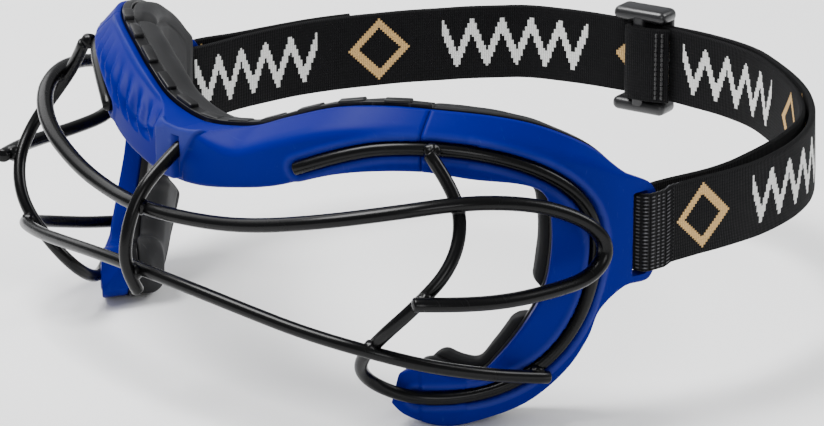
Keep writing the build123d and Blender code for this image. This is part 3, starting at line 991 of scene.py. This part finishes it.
def tint(name, description, default):
    """A colour property."""
    return bpy.props.FloatVectorProperty(name=name, description=description, default=default,
                                         subtype="COLOR", size=3, min=0.0, max=1.0)


def length_of(name, description, default):
    """A length property, in millimetres."""
    return bpy.props.FloatProperty(name=name, description=description, default=default, min=0.0)


class GoggleColours(bpy.types.PropertyGroup):
    moulding: tint("Moulding", "Colour of the frame moulding", (0.0002, 0.0032, 0.165))
    inner_frame: tint("Inner frame", "Colour of the inner frame", (0.005, 0.005, 0.0055))
    pad: tint("Pad", "Colour of the face pads", (0.011, 0.0112, 0.012))
    cage: tint("Cage", "Colour of the coated cage wire", (0.0018, 0.0018, 0.002))
    # The strap's dark colour is painted shade between the raised threads.
    webbing_thread_shade: tint("Webbing dark", "Colour between the strap's threads",
                       (0.0015, 0.0015, 0.0018))
    webbing_light: tint("Webbing light", "Colour of the strap's raised threads",
                        (0.014, 0.014, 0.015))
    motif_white: tint("White motif", "Colour of the strap's zigzag", (0.80, 0.80, 0.78))
    motif_gold: tint("Gold motif", "Colour of the strap's diamond", (0.66, 0.42, 0.17))
    thread: tint("Thread", "Colour of the stitching", (0.012, 0.012, 0.013))
    floor: tint("Floor", "Colour of the floor", (0.96, 0.96, 0.96))


class GoggleSizes(bpy.types.PropertyGroup):
    wire: length_of("Wire", "Diameter of the cage wire", 3.1)
    upper_wire_tall: length_of("Upper wire height", "Height of the flattened upper wire", 3.3)
    upper_wire_deep: length_of("Upper wire depth", "Depth of the flattened upper wire", 4.1)
    bead: length_of("Weld bead", "Radius of a weld bead", 2.0)
    ripple: length_of("Strap ripple", "How far the strap wanders from its line", 0.5)


def colours():
    """The scene's goggle colours."""
    return bpy.context.scene.goggle_colours


def sizes():
    """The scene's goggle sizes."""
    return bpy.context.scene.goggle_sizes


def blue():
    """The frame moulding's finish."""
    return moulding_finish("frame_blue", colours().moulding, 0.44, specular=0.06, scuffed=0.025,
                           grain_height=0.00002, scuff_and_highlight=(0.45, 0.55, 0.75))


def black():
    """The inner frame's finish."""
    return moulding_finish("inner_black", colours().inner_frame, 0.42, grain_height=0.00002,
                           specular=0.25)


def cage_coat():
    """The cage's finish: thick gloss coat."""
    return moulding_finish("cage_gloss", colours().cage, 0.27, grain=900.0, coat=0.05,
                           grain_height=0.00001, shade_strength=0.0, scuffed=0.003, specular=0.14)


def pad_skin():
    """The pads' finish: soft skin of moulded foam."""
    return moulding_finish("pad_skin", colours().pad, 0.62, grain=3400.0, grain_height=0.00005,
                           specular=0.2, scuff_and_highlight=(0.30, 0.30, 0.31))


def slider_plastic():
    """The slider's finish."""
    return moulding_finish("slider_gloss", (0.010, 0.010, 0.011), 0.33, grain=2200.0)


class GOGGLES_OT_moulding(bpy.types.Operator):
    """Models the brow and the two temples with their groove, lips, ribs and strap slots"""
    bl_idname = "goggles.moulding"
    bl_label = "Frame Moulding"

    def execute(self, context):
        gap = 0.006
        brow = [float(s) for s in np.linspace(gap - SEAM_STATION, SEAM_STATION - gap, 300)]
        bm = shell_mesh(brow, brow_relief, SHELL_FRONT, SHELL_BACK, band_at, ridge_section)
        finished("brow_moulding", bm, "goggles", blue(), "blue_moulding", "brow_shell")
        temple = [float(s) for s in np.linspace(SEAM_STATION + gap, LAST_STATION - 0.35, 360)]
        for way, title in SIDES:
            stations = temple if way > 0 else [-s for s in reversed(temple)]
            bm = shell_mesh(stations, shell_relief, SHELL_FRONT, SHELL_BACK, band_at, ridge_section)
            piece = finished(f"temple_moulding_{title}", bm, "goggles", blue(), "blue_moulding",
                             f"temple_frame_{title}")
            low, high = at(70 * way, -5.0, -10.1), at(94 * way, -0.6, 10.1)
            cut_by(piece, slot_cutter(Vector(map(min, low, high)), Vector(map(max, low, high))))
        return {"FINISHED"}


class GOGGLES_OT_inner_frame(bpy.types.Operator):
    """Models the black inner frame that carries the pads"""
    bl_idname = "goggles.inner_frame"
    bl_label = "Inner Frame"

    def execute(self, context):
        insets = (LINER_FRONT, LINER_BACK)
        gap = 0.01
        stations = [float(s) for s in np.linspace(gap - SEAM_STATION, SEAM_STATION - gap, 150)]
        bm = inner_mesh(stations, insets, liner_section, 0.8)
        finished("inner_frame_brow", bm, "goggles", black(), "black_liner", "liner_brow")
        end = LAST_STATION - 0.4
        for way, title in SIDES:
            bm = inner_mesh(stations_between(SEAM_STATION + gap, end, 150), insets, liner_section,
                            0.25, (end,), 2.0, way)
            finished(f"inner_frame_{title}", bm, "goggles", black(), "black_liner",
                     f"liner_{title}")
        bm = bmesh.new()
        outer_arcs = [outer[0] for outer in OUTER_EDGE[:SEAM_STATION + 2]]

        def rim(x, lift=0.0, out=0.0):
            """A place over the frame's top edge."""
            arc = front(abs(x), 0)[0]
            station = float(np.interp(arc, outer_arcs, range(len(outer_arcs))))
            top = inner_edges(station, 1, 0.8)[1][1]
            spot = on_wall(arc if x >= 0 else -arc, top + lift, (4.5, 10.6), out) / MM
            return Vector((spot.x, spot.y - SLOT_BACK, spot.z + SLOT_DROP))

        for step in range(-5, 6):
            x = step * 10.2
            tall = 1.0 if x < 0 else 0.4
            normal = (rim(x, 0.0, 1.0) - rim(x)).normalized()
            tangent = rim(x + 2.5) - rim(x - 2.5)
            tangent = (tangent - normal * tangent.dot(normal)).normalized()
            turn = Matrix((tangent, normal, tangent.cross(normal))).transposed()
            rounded_block(bm, (6.4, 2.5, tall + 0.6), rim(x, tall / 2 - 0.3), turn, 0.35, 3)
        finished("inner_frame_teeth", bm, "goggles", black(), "black_liner", "liner_teeth")
        return {"FINISHED"}


class GOGGLES_OT_pads(bpy.types.Operator):
    """Models the soft face pads: brow, temples and cheeks"""
    bl_idname = "goggles.pads"
    bl_label = "Face Pads"

    def execute(self, context):
        insets = (PAD_FRONT, (PAD_BACK[0] - 1.0, PAD_BACK[1] - 1.2))
        reach = 5.4
        runs = [("pad_brow", "brow_pad", -reach, reach, (reach,), 170, 1, 0.0)]
        for name, start, end, inward in (("temple", 5.62, TEMPLE_END, 2.6),
                                         ("cheek", CHEEK_START, LAST_STATION - 0.6, 2.2)):
            runs += [(f"pad_{name}_{title}", f"{name}_pad_{title}", start, end, (start, end), 130,
                      way, inward) for way, title in SIDES]
        for name, cad, start, end, limits, count, way, inward in runs:
            bm = inner_mesh(stations_between(start, end, count), insets, pad_section(start, end),
                            -0.15, limits, 5.0, way, inward, pad_swell)
            piece = finished(name, bm, "goggles", pad_skin(), "face_pad", cad)
        return {"FINISHED"}


class GOGGLES_OT_cage(bpy.types.Operator):
    """Models the bent wires of the cage and the weld beads where they cross"""
    bl_idname = "goggles.cage"
    bl_label = "Wire Cage"

    def execute(self, context):
        wire = sizes().wire
        rods = [
            ("cage_perimeter_left", ORBITAL, wire, wire, "orbital_wire_left"),
            ("cage_perimeter_right", mirrored(ORBITAL), wire, wire, "orbital_wire_right"),
            ("cage_upper", both_sides(UPPER), sizes().upper_wire_tall, sizes().upper_wire_deep,
             "upper_wire"),
            ("cage_lower", both_sides(LOWER), wire, wire, "lower_wire"),
            ("cage_nose_bar", NOSE, wire, wire, "nose_bar"),
        ]
        for name, route, tall, deep, cad in rods:
            finished(name, rod(route, tall, deep), "goggles", cage_coat(), "cage_black", cad)
        edge, upper, lower = smooth_route(ORBITAL), smooth_route(UPPER), smooth_route(LOWER)
        left = [WELDS[0]]
        left += [tuple(crossing(edge, line, near))
                 for line, near in zip((upper, upper, lower, lower), WELDS[1:])]
        centre = [crossing(smooth_route(NOSE), smooth_route(both_sides(route)), near)
                  for route, near in zip((UPPER, LOWER), NOSE_WELDS)]
        for title, places, seed in (("left", left, 5), ("right", mirrored(left), -5),
                                    ("centre", centre, 20)):
            bm = bmesh.new()
            for i, place in enumerate(places):
                weld_bead(bm, place, sizes().bead, seed + i)
            finished(f"weld_lumps_{title}", bm, "goggles", cage_coat(), "cage_black",
                     f"weld_beads_{title}")
        return {"FINISHED"}


class GOGGLES_OT_strap(bpy.types.Operator):
    """Models the elastic head strap: its outer layer through both slots and its inner layer"""
    bl_idname = "goggles.strap"
    bl_label = "Head Strap"

    def execute(self, context):
        webbing = webbing_finish(colours())
        line = smooth_route([(x, y, 0.0) for x, y in FAR_TAIL + FAR_TURN + MAIN + NEAR_TURN], 10)
        finished("strap_outer_layer", strap_mesh(line, sizes().ripple, 16.5, 20.0, 17.0), "goggles",
                 webbing, "strap_webbing", "strap_main", "strap_end_right", "strap_turn_left")
        main = smooth_route([(x, y, 0.0) for x, y in MAIN], 10)
        inner = [tuple(p) for p in offset_line(main, -STRAP_PITCH)[6 * 10 - 2:-12:8]]
        controls = [p for p in inner if p[0] > 14.0 and p[1] > 40.0]
        loop = [(*slider_place(u, v)[:2], 0.0) for u, v in LOOP]
        slot = [(81.2, 27.0, 0.0), (INNER_X, 11.0, 0.0), (INNER_X, 5.0, 0.0)]
        line = smooth_route(loop + controls + slot, 10)
        piece = finished("strap_inner_layer", strap_mesh(line, 0.0, 380.0, 46.5), "goggles",
                         webbing, "strap_webbing", "strap_return", "strap_end_loop")
        piece.parent = None
        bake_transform(piece)
        return {"FINISHED"}


class GOGGLES_OT_slider(bpy.types.Operator):
    """Models the three-bar slider on the strap"""
    bl_idname = "goggles.slider"
    bl_label = "Strap Slider"

    def execute(self, context):
        turn = Matrix((SLIDE_WAY, OUTWARD, Vector((0, 0, 1)))).transposed()
        blocks = [
            ((15.4, 7.8, 3.6), (0, -0.9, 12.3), 1.7, 6),
            ((15.4, 7.8, 3.6), (0, -0.9, -12.3), 1.7, 6),
            ((3.2, 1.9, 25.0), (-5.4, 2.05), 0.75, 4), ((3.2, 1.9, 25.0), (5.4, 2.05), 0.75, 4),
            ((3.2, 1.8, 25.0), (0, -3.9), 0.7, 4),
        ]
        bm = bmesh.new()
        for size, place, radius, segments in blocks:
            rounded_block(bm, size, slider_place(*place), turn, radius, segments)
        finished("three_bar_slider", bm, "strap_slider", slider_plastic(), "slider_black", "slider")
        return {"FINISHED"}


class GOGGLES_OT_stitching(bpy.types.Operator):
    """Models the rows of stitches at the strap's sewn ends"""
    bl_idname = "goggles.stitching"
    bl_label = "Strap Stitching"

    def execute(self, context):
        thread = thread_finish(colours().thread)
        top = 9.0
        bm = bmesh.new()
        for u, v in ((7.9, -5.55), (6.4, -6.05)):
            stitch_row(bm, slider_place(u, v, -top), slider_place(u, v, top), -OUTWARD, 0.05)
        finished("slider_stitch_rows", bm, "strap_slider", thread, "strap_thread",
                 "slider_stitches")
        bm = bmesh.new()
        tail = smooth_route([(x, y, 0.0) for x, y in FAR_TAIL + FAR_TURN[:1]], 10)
        for place in (3, 9):
            way = (tail[place + 1] - tail[place]).normalized()
            normal = Vector((-way.y, way.x, 0))
            if normal.x > 0:
                normal = -normal
            low = tail[place] + normal * 0.82
            stitch_row(bm, (low.x, low.y, -top), (low.x, low.y, top), normal, 0.1)
        finished("tail_stitch_rows", bm, "goggles", thread, "strap_thread", "strap_stitches")
        return {"FINISHED"}


class GOGGLES_OT_stage(bpy.types.Operator):
    """Sets the camera, the pale floor and the soft studio lights"""
    bl_idname = "goggles.stage"
    bl_label = "Stage"

    def execute(self, context):
        scene = context.scene
        camera = bpy.data.objects.new("camera", bpy.data.cameras.new("camera"))
        scene.collection.objects.link(camera)
        camera.data.lens = 178.7
        camera.data.sensor_width = 36.0
        camera.data.clip_start, camera.data.clip_end = 0.05, 30.0
        turn, lift = radians(47.0), radians(18.45)
        back = Vector((sin(turn) * cos(lift), -cos(turn) * cos(lift), sin(lift)))
        right = Vector((cos(turn), sin(turn), 0.0))
        up = back.cross(right)
        camera.location = at(0, 0, 0) + right * 0.002 - up * 0.0151 + back
        camera.rotation_mode = "QUATERNION"
        camera.rotation_quaternion = (-back).to_track_quat("-Z", "Y")
        scene.camera = camera

        low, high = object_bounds()
        bm = bmesh.new()
        bmesh.ops.create_grid(bm, x_segments=1, y_segments=1, size=6.0)
        bmesh.ops.translate(bm, vec=(0, 0, low.z - 0.0005), verts=bm.verts)
        mesh = bpy.data.meshes.new("floor")
        bm.to_mesh(mesh)
        bm.free()
        floor = bpy.data.objects.new("floor", mesh)
        scene.collection.objects.link(floor)
        material, tree, shader = new_finish("floor")
        shader.inputs["Base Color"].default_value = (*colours().floor, 1.0)
        shader.inputs["Roughness"].default_value = 0.85
        shader.inputs["Specular IOR Level"].default_value = 0.2
        mesh.materials.append(material)
        floor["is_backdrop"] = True

        world = bpy.data.worlds.new("studio")
        world.use_nodes = True
        background = world.node_tree.nodes["Background"]
        background.inputs["Color"].default_value = (0.95, 0.97, 1.0, 1.0)
        background.inputs["Strength"].default_value = 0.42
        scene.world = world
        middle = (low + high) / 2
        lights = [
            ("key", (-0.35, -0.35, 1.15), 0.7, 29.0), ("front", (1.0, -0.65, 0.5), 0.5, 4.0),
            ("fill", (-0.9, 0.1, 0.6), 0.8, 4.0), ("rim", (0.5, 0.95, 0.8), 0.6, 9.0),
        ]
        for name, place, size, power in lights:
            light = bpy.data.lights.new(name, "AREA")
            light.shape = "DISK"
            light.size = size
            light.energy = power
            lamp = bpy.data.objects.new(name, light)
            scene.collection.objects.link(lamp)
            lamp.location = middle + Vector(place)
            lamp.rotation_mode = "QUATERNION"
            lamp.rotation_quaternion = (-Vector(place)).to_track_quat("-Z", "Y")
        return {"FINISHED"}


class GOGGLES_PT_panel(bpy.types.Panel):
    """Lists the goggles' pieces, sizes and colours"""
    bl_idname = "GOGGLES_PT_panel"
    bl_label = "Cage Goggles"
    bl_space_type = "VIEW_3D"
    bl_region_type = "UI"
    bl_category = "Goggles"

    def draw(self, context):
        for group in (context.scene.goggle_sizes, context.scene.goggle_colours):
            for name in group.bl_rna.properties.keys():
                if name not in ("name", "rna_type"):
                    self.layout.prop(group, name)
        for kind in PIECES:
            self.layout.operator(kind.bl_idname)


PIECES = (GOGGLES_OT_stage, GOGGLES_OT_moulding, GOGGLES_OT_inner_frame, GOGGLES_OT_pads,
          GOGGLES_OT_cage, GOGGLES_OT_strap, GOGGLES_OT_slider, GOGGLES_OT_stitching)
CLASSES = (GoggleColours, GoggleSizes) + PIECES + (GOGGLES_PT_panel,)


def register():
    """Registers the classes and the scene's goggle properties."""
    for kind in CLASSES:
        bpy.utils.register_class(kind)
    bpy.types.Scene.goggle_colours = bpy.props.PointerProperty(type=GoggleColours)
    bpy.types.Scene.goggle_sizes = bpy.props.PointerProperty(type=GoggleSizes)


def unregister():
    """Takes the classes and properties away again."""
    del bpy.types.Scene.goggle_sizes
    del bpy.types.Scene.goggle_colours
    for kind in reversed(CLASSES):
        bpy.utils.unregister_class(kind)


def main():
    """Makes every piece in order."""
    register()
    for kind in PIECES:
        space, action = kind.bl_idname.split(".")
        getattr(getattr(bpy.ops, space), action)()
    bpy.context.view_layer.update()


if __name__ == "__main__":
    main()
